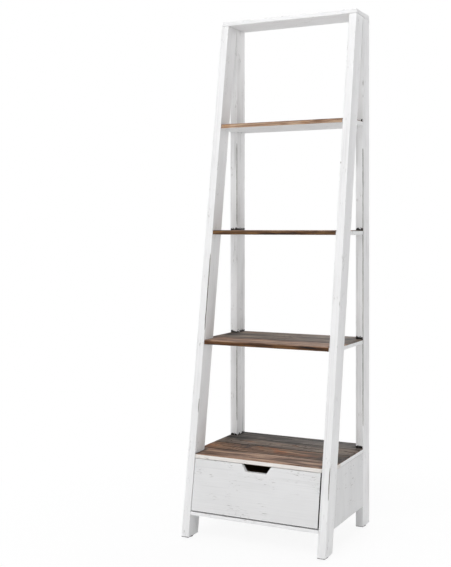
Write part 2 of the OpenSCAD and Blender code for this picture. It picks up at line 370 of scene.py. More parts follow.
class PlankTone(Enum):
    """The browns of a reclaimed plank: dark growth lines, body, pale grain, warm patches."""

    TAN = ("4E3323", "A07E68", "C4A58C", "A86F42")
    RUSSET = ("301C12", "7C5A40", "A98464", "A05C24")
    BARN = ("241B15", "6B5B4F", "978574", "84532C")
    SMOKE = ("1C1714", "574E47", "877C72", "68492E")
    UMBER = ("1C0D05", "573619", "86603A", "85501F")
    RUST = ("2E1A0C", "6B4A2A", "8E6A3E", "80541F")
    HONEY = ("86644A", "BC9C82", "D6BA9E", "B98A5C")


@dataclass(frozen=True)
class ReclaimedPine:
    """Brown waxed reclaimed pine planks.

    Grey-brown boards with darker growth lines, amber patches, marks of a coarse saw across them
    in places, fine cracks and a low waxed sheen.
    """

    name: str
    seed: int = 0
    tone: PlankTone = PlankTone.BARN
    saw: float = 0.5
    ambered: float = 0.5
    edge: str = "A88A72"
    dark_wax_and_shade: str = "17120E"

    def make(self) -> bpy.types.Material:
        """Builds the material.

        Returns:
            The material, which reads the attribute rub and the attribute of dark wax and painted
            shade.
        """
        made, node = new_material(self.name)
        dark, mid, light, warm = self.tone.value
        turned = node(
            "Mapping",
            {
                "Vector": node("TexCoord").outputs["Object"],
                "Location": (0.913 * self.seed, 0.411 * self.seed, 0.277 * self.seed),
            },
        )
        # cell length and width in metres, detail and twist; fibres are about 0.05 mm wide,
        # drawn at 1.6 mm so that they show
        layer = {
            key: node(
                "TexNoise",
                {
                    "Vector": node(
                        "Mapping",
                        {"Vector": turned, "Scale": sized(Grain.ACROSS, along, across)},
                    ),
                    "Scale": 1.0,
                    "Detail": detail,
                    "Roughness": 0.6,
                    "Distortion": twist,
                },
            )
            for key, along, across, detail, twist in (
                ("figure", 0.26, 0.030, 4.0, 1.2),
                ("growth", 0.20, 0.010, 3.0, 0.3),
                ("fibre", 0.08, 0.0016, 3.0, 0.0),
                ("broad", 0.11, 0.05, 2.0, 0.0),
                ("amber", 0.12, 0.05, 2.0, 0.5),
                ("crack", 0.16, 0.0024, 2.0, 0.0),
            )
        }
        rub, wax_and_shade = (
            node("Attribute", attribute_name=key, attribute_type="GEOMETRY")
            for key in ("rub", "wax_and_shade")
        )

        colour = node(
            "ValToRGB",
            {"Fac": node("Mix", {"Factor": 0.45, 2: layer["figure"], 3: layer["growth"]})},
            stops=((0.41, dark), (0.49, mid), (0.60, light)),
        )
        # broad shadows, amber patches, patches where the saw shows, and cracks
        shadowed, ambered, patch, split = (
            node(
                "MapRange",
                {"Value": layer[key], "From Min": low, "From Max": high, "To Max": most},
                interpolation_type=curve,
            )
            for key, low, high, most, curve in (
                ("broad", 0.50, 0.34, 0.5, "LINEAR"),
                (
                    "amber",
                    0.64 - 0.16 * self.ambered,
                    0.74 - 0.16 * self.ambered,
                    0.75,
                    "SMOOTHSTEP",
                ),
                ("broad", 0.47, 0.60, self.saw, "SMOOTHSTEP"),
                ("crack", 0.67, 0.75, 0.8, "LINEAR"),
            )
        )
        golden = node("ValToRGB", {"Fac": layer["figure"]}, stops=((0.38, dark), (0.56, warm)))

        # the saw left lines about 8 mm apart, slanting over the plank in patches; drawn 20 mm
        # apart so that they show
        lines = node(
            "TexWave",
            {
                "Vector": node(
                    "Mapping",
                    {"Vector": turned, "Rotation": (0.0, 0.0, math.radians(34.0))},
                ),
                "Scale": math.tau / 20.0 / 0.020,
                "Distortion": 11.0,
                "Detail": 4.0,
                "Detail Scale": 1.3,
            },
            bands_direction="X",
        )
        bitten = node(
            "MapRange",
            {"Value": lines, "From Min": 0.60, "From Max": 0.90},
            interpolation_type="SMOOTHSTEP",
        )
        sawn = node("Math", {0: bitten, 1: patch}, operation="MULTIPLY")
        fibred = node(
            "ValToRGB",
            {"Fac": layer["fibre"]},
            stops=((0.30, "B4B1AF"), (0.62, "FFFFFF")),
        )

        # pale where the front arris is rubbed, nearly black where wax has gathered and where shade
        # is painted in the notches round the legs
        worn, smeared_and_shaded = (
            node(
                "MapRange",
                {
                    "Value": node(
                        "Math",
                        {0: layer["growth"], 1: gain, 2: mask},
                        operation="MULTIPLY_ADD",
                    ),
                    "From Min": low,
                    "From Max": high,
                    "To Max": most,
                },
            )
            for mask, gain, low, high, most in (
                (rub, 0.7, 0.75, 1.10, 0.85),
                (wax_and_shade, 0.5, 0.50, 0.95, 0.92),
            )
        )
        for factor, over, blend in (
            (shadowed, linear(dark), "MIX"),
            (ambered, golden, "MIX"),
            (sawn, linear(dark), "MIX"),
            (split, linear(self.dark_wax_and_shade), "MIX"),
            (1.0, fibred, "MULTIPLY"),
            (worn, linear(self.edge), "MIX"),
            (smeared_and_shaded, linear(self.dark_wax_and_shade), "MIX"),
        ):
            colour = node(
                "Mix",
                {"Factor": factor, 6: colour, 7: over},
                data_type="RGBA",
                blend_type=blend,
            )

        cut = node("Math", {0: sawn, 1: split}, operation="ADD")
        skin = node("Mix", {"Factor": 0.6, 2: layer["fibre"], 3: layer["growth"]})
        bump = node(
            "Bump",
            {
                "Strength": 0.7,
                "Distance": 0.0006,
                "Height": node("Math", {0: skin, 1: cut}, operation="SUBTRACT"),
            },
        )
        rough = node(
            "MapRange",
            {
                "Value": node("Math", {0: layer["fibre"], 1: sawn}, operation="ADD"),
                "To Min": 0.50,
                "To Max": 0.72,
            },
        )
        shader = node(
            "BsdfPrincipled",
            {
                "Base Color": colour,
                "Roughness": rough,
                "Normal": bump,
                "IOR": 1.46,
                "Specular IOR Level": 0.35,
            },
        )
        node("OutputMaterial", {"Surface": shader})
        return made


@dataclass(frozen=True)
class BareWood:
    """Clear lacquered birch plywood, or bare beech.

    Pale even wood with fine figure along the grain and short darker flecks. With plies, thin
    glue lines run level through the thickness.
    """

    name: str
    grain: Grain
    light: str
    dark: str
    fleck: str
    plies: Grain | None = None
    ply: float = 0.0013
    gloss: float = 0.45

    def make(self) -> bpy.types.Material:
        """Builds the material."""
        made, node = new_material(self.name)
        place = node("TexCoord").outputs["Object"]
        figure, flecks = (
            node(
                "TexNoise",
                {
                    "Vector": node(
                        "Mapping",
                        {"Vector": place, "Scale": sized(self.grain, along, across)},
                    ),
                    "Scale": 1.0,
                    "Detail": detail,
                    "Distortion": 0.4,
                },
            )
            for along, across, detail in ((0.16, 0.011, 4.0), (0.006, 0.0011, 1.0))
        )
        colour = node(
            "Mix",
            {
                "Factor": node(
                    "MapRange",
                    {"Value": flecks, "From Min": 0.60, "From Max": 0.74, "To Max": 0.45},
                ),
                6: node("ValToRGB", {"Fac": figure}, stops=((0.34, self.dark), (0.62, self.light))),
                7: linear(self.fleck),
            },
            data_type="RGBA",
        )
        if self.plies is not None:
            lines = node(
                "TexWave",
                {"Vector": place, "Scale": math.tau / 20.0 / (2.0 * self.ply)},
                bands_direction="XYZ"[self.plies.value],
            )
            edge = node("Attribute", attribute_name="edge", attribute_type="GEOMETRY")
            colour = node(
                "Mix",
                {
                    "Factor": node("Math", {0: lines, 1: edge}, operation="MULTIPLY"),
                    6: colour,
                    7: linear(self.fleck),
                },
                data_type="RGBA",
            )
        bump = node("Bump", {"Strength": 0.35, "Distance": 0.0002, "Height": figure})
        rough = node(
            "MapRange",
            {"Value": flecks, "To Min": self.gloss - 0.05, "To Max": self.gloss + 0.1},
        )
        shader = node(
            "BsdfPrincipled",
            {"Base Color": colour, "Roughness": rough, "Normal": bump, "IOR": 1.5},
        )
        node("OutputMaterial", {"Surface": shader})
        return made


@dataclass(frozen=True)
class PlatedSteel:
    """Steel, rolled and zinc plated, or ground bright.

    A cool grey metal, its plating faintly cloudy, with fine lines where it was rolled or ground.
    """

    name: str
    light: str
    dark: str
    rough: float
    lined: Grain = Grain.DEEP

    def make(self) -> bpy.types.Material:
        """Builds the material."""
        made, node = new_material(self.name)
        place = node("TexCoord").outputs["Object"]
        cloud = node("TexNoise", {"Vector": place, "Scale": 1.0 / 0.012, "Detail": 3.0})
        lines = node(
            "TexNoise",
            {
                "Vector": node(
                    "Mapping",
                    {"Vector": place, "Scale": sized(self.lined, 0.05, 0.0004)},
                ),
                "Scale": 1.0,
                "Detail": 1.0,
            },
        )
        colour = node("ValToRGB", {"Fac": cloud}, stops=((0.35, self.dark), (0.62, self.light)))
        rough = node(
            "MapRange",
            {"Value": lines, "To Min": self.rough - 0.07, "To Max": self.rough + 0.1},
        )
        bump = node("Bump", {"Strength": 0.2, "Distance": 0.00005, "Height": lines})
        shader = node(
            "BsdfPrincipled",
            {"Base Color": colour, "Roughness": rough, "Normal": bump, "Metallic": 1.0},
        )
        node("OutputMaterial", {"Surface": shader})
        return made


@dataclass(frozen=True)
class MouldedNylon:
    """Black nylon, moulded.

    Near-black and matt, with a fine grained skin and pale scuffs where it slides.
    """

    name: str
    colour: str = "1B1B1C"
    scuff: str = "4A4A4B"

    def make(self) -> bpy.types.Material:
        """Builds the material."""
        made, node = new_material(self.name)
        place = node("TexCoord").outputs["Object"]
        skin, rubbed = (
            node("TexNoise", {"Vector": place, "Scale": 1.0 / size, "Detail": detail})
            for size, detail in ((0.0007, 1.0), (0.006, 3.0))
        )
        colour = node("ValToRGB", {"Fac": rubbed}, stops=((0.55, self.colour), (0.75, self.scuff)))
        rough = node("MapRange", {"Value": rubbed, "To Min": 0.48, "To Max": 0.66})
        bump = node("Bump", {"Strength": 0.3, "Distance": 0.0001, "Height": skin})
        shader = node(
            "BsdfPrincipled",
            {"Base Color": colour, "Roughness": rough, "Normal": bump, "IOR": 1.53},
        )
        node("OutputMaterial", {"Surface": shader})
        return made


# ---- Bench ----


class Workpiece:
    """A block of wood on the bench, shaped in edit mode and then finished in place."""

    def __init__(self, name: str, low: Vector, high: Vector) -> None:
        """Cuts the block that fills two corners and opens it for shaping.

        Args:
            name: The piece's name.
            low: Lowest corner in metres.
            high: Highest corner in metres.
        """
        bpy.ops.object.select_all(action="DESELECT")
        bpy.ops.mesh.primitive_cube_add(size=1.0, location=(low + high) / 2.0)
        self.piece = bpy.context.active_object
        self.piece.name = name
        self.piece.data.name = name
        self.piece.scale = high - low
        bpy.ops.object.transform_apply(location=True, rotation=True, scale=True)
        bpy.ops.object.mode_set(mode="EDIT")

    def pick(self, part: Part, test: Test) -> int:
        """Selects what passes a test of its middle and its normal or direction.

        Args:
            part: Vertices, edges or faces.
            test: Takes a middle and a direction, and says whether to select.

        Returns:
            How many were selected.
        """
        bpy.ops.mesh.select_mode(type=part.value)
        bpy.ops.mesh.select_all(action="DESELECT")
        mesh = bmesh.from_edit_mesh(self.piece.data)
        if part is Part.VERT:
            found = [(v, v.co, v.normal) for v in mesh.verts]
        elif part is Part.EDGE:
            found = [
                (
                    e,
                    (e.verts[0].co + e.verts[1].co) / 2.0,
                    (e.verts[1].co - e.verts[0].co).normalized(),
                )
                for e in mesh.edges
            ]
        else:
            found = [(f, f.calc_center_median(), f.normal) for f in mesh.faces]
        count = 0
        for item, middle, way in found:
            if test(middle, way):
                item.select_set(True)
                count += 1
        mesh.select_flush_mode()
        bmesh.update_edit_mesh(self.piece.data)
        return count

    def shift(self, part: Part, test: Test, by: Sequence[float]) -> None:
        """Moves what passes a test."""
        self.pick(part, test)
        bpy.ops.transform.translate(value=by)

    def lean(self, low: Vector, high: Vector, by: float) -> None:
        """Moves the top front arris back, so that the front leans with the front legs."""
        self.shift(
            Part.VERT,
            lambda p, _: p.z > high.z - HAIR and p.y < low.y + HAIR,
            (0.0, by, 0.0),
        )

    def saw(self, point: Sequence[float], normal: Sequence[float]) -> None:
        """Scores the whole piece along a plane."""
        bpy.ops.mesh.select_all(action="SELECT")
        bpy.ops.mesh.bisect(plane_co=point, plane_no=normal)

    def pull(self, test: Test, by: Sequence[float]) -> None:
        """Pulls faces that pass a test out of the piece, with new walls behind them."""
        self.pick(Part.FACE, test)
        bpy.ops.mesh.extrude_region_move(TRANSFORM_OT_translate={"value": by})

    def chamfer(self, test: Test, width: float, segments: int = 1) -> None:
        """Takes off the edges that pass a test."""
        if self.pick(Part.EDGE, test):
            bpy.ops.mesh.bevel(offset=width, segments=segments, affect="EDGES")

    def score(self, axis: Grain, places: Sequence[float]) -> None:
        """Scores the piece square to an axis at several places."""
        normal = [float(k == axis.value) for k in range(3)]
        for place in places:
            self.saw([place * n for n in normal], normal)

    def ease(self, width: float, angle: float = 30.0) -> None:
        """Rounds every arris and keeps the rounded vertices as the group arris."""
        bpy.ops.mesh.select_mode(type="EDGE")
        bpy.ops.mesh.select_all(action="DESELECT")
        bpy.ops.mesh.edges_select_sharp(sharpness=math.radians(angle))
        bpy.ops.mesh.bevel(offset=width, segments=2, affect="EDGES", clamp_overlap=True)
        bpy.ops.object.vertex_group_add()
        bpy.context.object.vertex_groups.active.name = "arris"
        bpy.ops.object.vertex_group_assign()

    def coat(self, test: Test, finish: bpy.types.Material) -> None:
        """Gives the faces that pass a test a finish of their own."""
        bpy.ops.object.material_slot_add()
        self.piece.material_slots[-1].material = finish
        if self.pick(Part.FACE, test):
            bpy.ops.object.material_slot_assign()

    def close(
        self,
        wave: float,
        spacing: float,
        rub: Callable[[Vector], float],
        wax_and_shade: Callable[[Vector], float] | None = None,
    ) -> bpy.types.Object:
        """Wears the arrises, smooths the piece and writes its rub, and its wax and painted shadow.

        Args:
            wave: How far the arrises are worn in, in metres.
            spacing: Length of one hollow along an arris, in metres.
            rub: How bare an arris is at a point, from 0 to 1.
            wax_and_shade: How dark the wax and painted shadow are at a point, from 0 to 1.

        Returns:
            The finished piece.
        """
        bpy.ops.object.mode_set(mode="OBJECT")
        clouds = bpy.data.textures.new(f"{self.piece.name}_wear", "CLOUDS")
        clouds.noise_scale = spacing
        worn = self.piece.modifiers.new("worn arrises", "DISPLACE")
        worn.texture = clouds
        worn.texture_coords = "LOCAL"
        worn.mid_level = 1.0
        worn.strength = wave
        worn.vertex_group = "arris"
        bpy.ops.object.modifier_apply(modifier=worn.name)
        bpy.ops.object.shade_smooth_by_angle(angle=math.radians(40.0))
        mesh = self.piece.data
        group = self.piece.vertex_groups["arris"].index
        values = [
            rub(v.co) if any(g.group == group for g in v.groups) else 0.0
            for v in mesh.vertices
        ]
        mesh.attributes.new("rub", "FLOAT", "POINT").data.foreach_set("value", values)
        darkened = [wax_and_shade(v.co) if wax_and_shade else 0.0 for v in mesh.vertices]
        mesh.attributes.new("wax_and_shade", "FLOAT", "POINT").data.foreach_set("value", darkened)
        return self.piece


def hang(piece: bpy.types.Object, node: str, slot: Slot) -> None:
    """Puts a finished piece in the place of its frame node.

    Args:
        piece: The finished piece.
        node: The frame node that it stands for.
        slot: Not used.
    """
    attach(piece, BODY_OF[node])
    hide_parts(node)
    LOG.info("%s: %d faces", piece.name, len(piece.data.polygons))


def paint(piece: bpy.types.Object, finish: bpy.types.Material) -> None:
    """Gives a piece one finish all over."""
    piece.data.materials.clear()
    piece.data.materials.append(finish)


def whiten(piece: bpy.types.Object, node: str, grain: Grain, seed: int, **own: object) -> None:
    """Paints a finished piece white and puts it in the place of its frame node.

    Args:
        piece: The finished piece.
        node: The frame node that it stands for.
        grain: The way its brush marks run.
        seed: Moves the patterns of its paint.
        own: What else its paint does differently.
    """
    paint(piece, PaintedPine(f"satin_painted_pine_{node}", grain, seed, **own).make())
    hang(piece, node, Slot.PAINT)


def dress(node: str, finish: bpy.types.Material, slot: Slot) -> None:
    """Gives a frame node that keeps its own shape a finish."""
    piece = frame["nodes"][node]
    if piece.material_slots:
        for holder in piece.material_slots:
            holder.material = finish
    else:
        piece.data.materials.append(finish)


def steps(low: float, high: float, pitch: float) -> list[float]:
    """Even places strictly between two ends, at most a pitch apart."""
    count = max(1, math.ceil((high - low) / pitch))
    return [low + (high - low) * k / count for k in range(1, count)]


def patchy(seed: float, low: float, high: float, length: float) -> Callable[[Vector], float]:
    """Wear that comes and goes over a length.

    Args:
        seed: Moves the pattern.
        low: Least wear.
        high: Most wear.
        length: Metres from one patch to the next.

    Returns:
        The wear at a point.
    """

    def wear(place: Vector) -> float:
        """The wear at one point."""
        value = noise.noise(place / length + Vector((seed, 2.0 * seed, 3.0 * seed)))
        return low + (high - low) * min(1.0, max(0.0, 0.5 + 0.9 * value))

    return wear


# ---- Sub-assemblies ----


@dataclass
class Rake:
    """The lean of the front legs, read off the frame."""

    foot_z: float = field(init=False)
    foot_y: float = field(init=False)
    slope: float = field(init=False)
    run: float = field(init=False)

    def __post_init__(self) -> None:
        """Measures the left front leg at its two ends."""
        low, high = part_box("left_front_leg")
        ends = [
            [
                v.co.y
                for v in frame["nodes"]["left_front_leg"].data.vertices
                if abs(v.co.z - z) < 1e-5
            ]
            for z in (low.z, high.z)
        ]
        self.foot_z = low.z
        self.foot_y = min(ends[0])
        self.run = max(ends[0]) - self.foot_y
        self.slope = (min(ends[1]) - self.foot_y) / (high.z - low.z)

    def y(self, z: float) -> float:
        """Front plane of the raked legs at a height."""
        return self.foot_y + (z - self.foot_z) * self.slope

    @property
    def angle(self) -> float:
        """The lean from plumb, in radians."""
        return math.atan(self.slope)

    @property
    def normal(self) -> tuple[float, float, float]:
        """Unit vector square to the front plane, pointing forwards."""
        return 0.0, -math.cos(self.angle), math.sin(self.angle)


@dataclass(frozen=True)
class Rub:
    """A stretch of a leg's right front arris where the paint is rubbed through."""

    low: float
    high: float
    depth: float = 0.85


@dataclass
class Ladder:
    """The four legs and the board that joins their tops."""

    rake: Rake
    grimy: Mapping[str, float] = field(default_factory=dict)
    ease: float = 0.0012
    wave: float = 0.0009
    support: float = 0.0032
    pitch: float = 0.022
    wax_height: float = 0.007
    fade: float = 0.03
    board_tops: Sequence[float] = ()
    rubs: Mapping[str, Sequence[Rub]] = field(default_factory=dict)

    def build(self) -> None:
        """Makes the legs and the top board."""
        for k, side in enumerate(("left", "right")):
            self._leg(f"{side}_front_leg", 11 + 2 * k, True)
            self._leg(f"{side}_back_leg", 21 + k, False)
        self._top_board()

    def _leg(self, node: str, seed: int, raked: bool) -> None:
        """Cuts one leg, eases it and paints it.

        Args:
            node: The frame node of the leg.
            seed: Makes its grain and wear its own.
            raked: Whether it leans.
        """
        low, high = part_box(node)
        lean = self.rake.slope * (high.z - low.z) if raked else 0.0
        leg = Workpiece(f"worn_{node}", low, Vector((high.x, high.y - lean, high.z)))
        leg.shift(Part.VERT, lambda p, _: p.z > high.z - HAIR, (0.0, lean, 0.0))
        across = self.rake.normal if raked else (0.0, -1.0, 0.0)
        inset = self.support / abs(across[1])
        for y in (low.y + inset, high.y - lean - inset):
            leg.saw((0.0, y, low.z), across)
        leg.score(Grain.ACROSS, (low.x + self.support, high.x - self.support))
        bands = [low.z + self.support] + [
            top + rise
            for top in self.board_tops
            for rise in (0.0, self.wax_height, 2.0 * self.wax_height)
            if low.z < top < high.z - self.pitch
        ]
        leg.score(Grain.UPRIGHT, sorted(steps(low.z, high.z, self.pitch) + bands))
        leg.ease(self.ease)
        general = patchy(seed, 0.02, 0.56, 0.05)
        middle_x = (low.x + high.x) / 2.0

        def back(place: Vector) -> float:
            """How far a point is behind the leg's middle."""
            lean_here = self.rake.slope * (place.z - low.z) if raked else 0.0
            return place.y - lean_here - (low.y + high.y - lean) / 2.0

        def rub(place: Vector) -> float:
            """Bareness of the arris at a point."""
            value = general(place)
            for mark in self.rubs.get(node, ()):
                if place.x > middle_x and back(place) < 0.0:
                    inside = min(place.z - mark.low, mark.high - place.z) / self.fade
                    value += mark.depth * min(1.0, max(0.0, inside))
            return value

        inner = 1.0 if middle_x < 0.0 else -1.0
        smear = patchy(seed + 7, 0.45, 1.0, 0.014)

        def wax_and_shade(place: Vector) -> float:
            """Wax dragged up the leg beside a board, and painted shadow along its front foot arris
            where it meets the floor.
            """
            # painted shadow where the foot meets the floor
            if place.z < low.z + 2.0 * self.ease and back(place) < 0.0:
                return 0.9
            inwards = (place.x - middle_x) * inner
            outer_arris = inwards < (low.x - high.x) / 2.0 + 2.0 * self.ease
            if raked or outer_arris or (back(place) > 0.0 and inwards < 0.0):
                return 0.0
            rises = [place.z - top for top in self.board_tops]
            near = max(
                (1.0 - rise / (2.0 * self.wax_height) for rise in rises if rise > -0.001),
                default=0.0,
            )
            return max(0.0, near) * smear(place)

        piece = leg.close(self.wave, 0.03, rub, wax_and_shade)
        tilt = self.rake.angle if raked else 0.0
        streaky = self.grimy.get(node, 0.14)
        whiten(piece, node, Grain.UPRIGHT, seed, tilt=tilt, marks=0.7, streaky=streaky)

    def _top_board(self) -> None:
        """Cuts the top board, with its front edge in the plane of the front legs."""
        low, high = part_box("top_board")
        lean = self.rake.slope * (high.z - low.z)
        board = Workpiece("worn_top_board", low, high)
        board.lean(low, high, lean)
        s = self.support
        board.saw((0.0, low.y + s / math.cos(self.rake.angle), low.z), self.rake.normal)
        board.score(Grain.DEEP, [high.y - s, *steps(low.y + 0.01, high.y - s, 0.02)])
        board.score(Grain.UPRIGHT, (low.z + s, high.z - s))
        board.score(Grain.ACROSS, [low.x + s, high.x - s, *steps(low.x, high.x, self.pitch)])
        board.ease(self.ease)
        piece = board.close(self.wave, 0.03, patchy(31, 0.02, 0.5, 0.05))
        whiten(piece, "top_board", Grain.ACROSS, 31)


@dataclass
class PlankBoard:
    """A board of planks that passes between the legs, with ears out to their faces.

    Its top is brown and waxed, and so is its front edge where that has a finish. Its underside,
    ears and back edge are painted.
    """

    rake: Rake
    stem: str
    planks: Sequence[ReclaimedPine]
    front_edge: ReclaimedPine | None = None
    gap: float = 0.0008
    groove: float = 0.0018
    seam_wax: float = 0.0080
    notch_shade_and_wax: float = 0.021
    edge_wax: float = 0.008
    ear_shade_and_wax: float = 0.5
    lip: float = 0.0022
    lap: float = 0.0004
    dabs: Sequence[tuple[float, float, float]] = ()
    ease: float = 0.0009
    wave: float = 0.0012
    support: float = 0.003
    pitch: float = 0.015
    legs_y: float = field(init=False)

    def __post_init__(self) -> None:
        """Reads where the back legs start."""
        self.legs_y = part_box("left_back_leg")[0].y

    def build(self) -> None:
        """Makes each plank of the board."""
        for k, finish in enumerate(self.planks):
            self._plank(k, finish)

    def _plank(self, k: int, finish: ReclaimedPine) -> None:
        """Cuts one plank with its ears, seams and worn edges.

        Args:
            k: The plank's place, counted from the front.
            finish: Its wood.
        """
        node = f"{self.stem}_{k + 1}"
        low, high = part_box(node)
        first, last = k == 0, k == len(self.planks) - 1
        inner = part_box("right_back_leg")[0].x - self.gap
        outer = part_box("right_back_leg")[1].x
        thick = high.z - low.z
        notch_front = self.rake.y(low.z) + self.rake.run + self.gap
        notch_back = self.legs_y - self.gap
        plank = Workpiece(
            f"worn_{node}",
            Vector((-inner, low.y, low.z)),
            Vector((inner, high.y, high.z)),
        )
        if first:
            plank.lean(low, high, self.rake.slope * thick)
        if low.y < notch_front < high.y:
            plank.saw((0.0, notch_front, low.z), self.rake.normal)
        if low.y < notch_back < high.y:
            plank.score(Grain.DEEP, (notch_back,))

        def beside(place: Vector, way: Vector, side: float) -> bool:
            """Whether a face lies at one end, between the notches."""
            front = notch_front + (place.z - low.z) * self.rake.slope
            return way.x * side > 0.9 and front < place.y < notch_back

        for side in (-1.0, 1.0):
            plank.pull(
                lambda p, n, side=side: beside(p, n, side),
                (side * (outer - inner), 0.0, 0.0),
            )

        seams = [y for y, closed in ((low.y, first), (high.y, last)) if not closed]
        for y in seams:
            plank.chamfer(
                lambda p, d, y=y: abs(d.x) > 0.9
                and p.z > high.z - HAIR
                and abs(p.y - y) < HAIR,
                self.groove,
            )
        s = self.support
        notch_shade_lines = (0.45 * self.notch_shade_and_wax, self.notch_shade_and_wax)
        ends = [inner - s, outer - s, *(inner - line for line in notch_shade_lines)]
        plank.score(
            Grain.ACROSS,
            sorted(steps(-outer, outer, self.pitch) + [k * x for k in (-1.0, 1.0) for x in ends]),
        )
        middle_front = notch_front + self.rake.slope * thick / 2.0
        lengths = [low.y + 2.0 * s, high.y - s, low.y + self.seam_wax, high.y - self.seam_wax]
        lengths += [notch_back - line for line in notch_shade_lines]
        lengths += [middle_front + line for line in notch_shade_lines]
        plank.score(
            Grain.DEEP,
            sorted(y for y in lengths + steps(low.y, high.y, 0.03) if low.y < y < high.y),
        )
        plank.score(Grain.UPRIGHT, (low.z + s, high.z - s))
        plank.ease(self.ease, 50.0)

        grime = patchy(finish.seed + 3, 0.5, 1.0, 0.02)

        def wax_and_shade(place: Vector) -> float:
            """Dark wax gathered in the seams, and painted shade mixed with wax in the notches round
            the legs.
            """
            to_side = abs(abs(place.x) - inner)
            front = notch_front + (place.z - low.z) * self.rake.slope
            to_notch = min(abs(place.y - front), abs(place.y - notch_back))
            if abs(place.x) > inner:
                off = 2.5 * to_notch
            elif front < place.y < notch_back:
                off = math.hypot(to_side, to_notch)
            else:
                off = to_side
            if place.y - self.rake.y(place.z) < self.ease and self.front_edge:
                return 0.0
            if place.z < high.z - 2.0 * self.ease:
                return 0.0
            # painted shade in the notches round the legs, broken up by patchy wax
            value = max(0.0, 1.0 - off / self.notch_shade_and_wax) * grime(place)
            if abs(place.x) > inner + self.gap:
                value *= self.ear_shade_and_wax
            for y in seams:
                value = max(value, 1.0 - abs(place.y - y) / self.seam_wax)
            if first and not self.front_edge and place.z > high.z - 0.0002:
                value = max(value, 0.8 - (place.y - self.rake.y(place.z)) / self.edge_wax)
            for x, y, reach in self.dabs:
                off = math.hypot(place.x - x, place.y - y) / reach
                value = max(value, (1.1 - off) * grime(place))
            return value

        white = PaintedPine(f"satin_painted_pine_{node}", Grain.ACROSS, finish.seed + 60)
        if first and not self.front_edge:
            white = replace(white, paint="E9E5E1", shade="D9D2CB")
        plank.coat(lambda p, n: True, finish.make())
        top, bottom = high.z - self.lip, low.z + self.lap

        def at_front(place: Vector, way: Vector) -> bool:
            """Whether a face is on the board's front edge, between the legs."""
            return first and way.y < -0.4 and abs(place.x) < inner - self.lap

        def painted(place: Vector, way: Vector) -> bool:
            """Whether a face was painted with the frame."""
            if way.z > 0.7:
                return False
            if at_front(place, way) and self.front_edge:
                return way.z < -0.55 and place.z < bottom
            return place.z < top

        plank.coat(painted, white.make())
        if first and self.front_edge:
            plank.coat(lambda p, n: at_front(p, n) and bottom < p.z < top, self.front_edge.make())
        piece = plank.close(self.wave, 0.028, patchy(finish.seed, 0.0, 0.6, 0.045), wax_and_shade)
        hang(piece, node, Slot.PLANK)


@dataclass
class Case:
    """The panels that close the case round the drawer, and its bottom board."""

    rake: Rake
    ease: float = 0.0009
    wave: float = 0.0006
    support: float = 0.0032
    pitch: float = 0.02

    def build(self) -> None:
        """Makes the side panels, the back panel and the bottom board."""
        for k, side in enumerate(("left", "right")):
            self._side_panel(f"{side}_side_panel", 41 + k)
        self._back_panel()
        self._bottom_board()

    def _side_panel(self, node: str, seed: int) -> None:
        """Cuts a side panel, raked where it meets the front leg."""
        low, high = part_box(node)
        lean = self.rake.slope * (high.z - low.z)
        panel = Workpiece(f"worn_{node}", low, high)
        panel.lean(low, high, lean)
        s = self.support
        panel.score(
            Grain.UPRIGHT, sorted([low.z + s, high.z - s, *steps(low.z, high.z, self.pitch)])
        )
        panel.saw((0.0, low.y + s, low.z), self.rake.normal)
        panel.score(Grain.DEEP, [high.y - s, *steps(low.y + lean + s, high.y - s, self.pitch)])
        panel.score(Grain.ACROSS, (low.x + s, high.x - s))
        panel.ease(self.ease)
        piece = panel.close(self.wave, 0.03, patchy(seed, 0.0, 0.55, 0.05))
        own = {"marks": 1.5, "cuts": Grain.DEEP, "paint": "E0E0E0", "shade": "D7D7D7"}
        whiten(piece, node, Grain.UPRIGHT, seed, **own)

    def _back_panel(self) -> None:
        """Cuts the back panel between the back legs."""
        low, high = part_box("back_panel")
        panel = Workpiece("worn_back_panel", low, high)
        s = self.support
        panel.score(Grain.ACROSS, [low.x + s, high.x - s, *steps(low.x, high.x, 0.03)])
        panel.score(Grain.UPRIGHT, [low.z + s, high.z - s, *steps(low.z, high.z, 0.03)])
        panel.score(Grain.DEEP, (low.y + s, high.y - s))
        panel.ease(self.ease)
        piece = panel.close(self.wave, 0.03, patchy(45, 0.0, 0.4, 0.05))
        whiten(piece, "back_panel", Grain.ACROSS, 45)

    def _bottom_board(self) -> None:
        """Cuts the bottom board, its middle between the legs and its ends under the sides."""
        low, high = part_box("bottom_board")
        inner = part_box("right_back_leg")[0].x
        legs_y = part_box("left_back_leg")[0].y
        thick = high.z - low.z
        board = Workpiece(
            "worn_bottom_board",
            Vector((-inner, low.y, low.z)),
            Vector((inner, high.y, high.z)),
        )
        board.lean(low, high, self.rake.slope * thick)
        board.saw((0.0, low.y + self.rake.run, low.z), self.rake.normal)
        board.score(Grain.DEEP, (legs_y,))
        middle = low.z + thick / 2.0
        front = self.rake.y(middle) + self.rake.run
        for side in (-1.0, 1.0):
            board.pull(
                lambda p, n, side=side: n.x * side > 0.9 and front < p.y < legs_y,
                (side * (high.x - inner), 0.0, 0.0),
            )
        s = self.support
        board.score(Grain.ACROSS, sorted([s - inner, inner - s, *steps(-inner, inner, self.pitch)]))
        board.score(Grain.DEEP, [low.y + 2.0 * s, high.y - s])
        board.score(Grain.UPRIGHT, (low.z + s, high.z - s))
        board.ease(self.ease)
        piece = board.close(0.0014, 0.05, patchy(47, 0.05, 0.6, 0.04))
        whiten(piece, "bottom_board", Grain.ACROSS, 47)


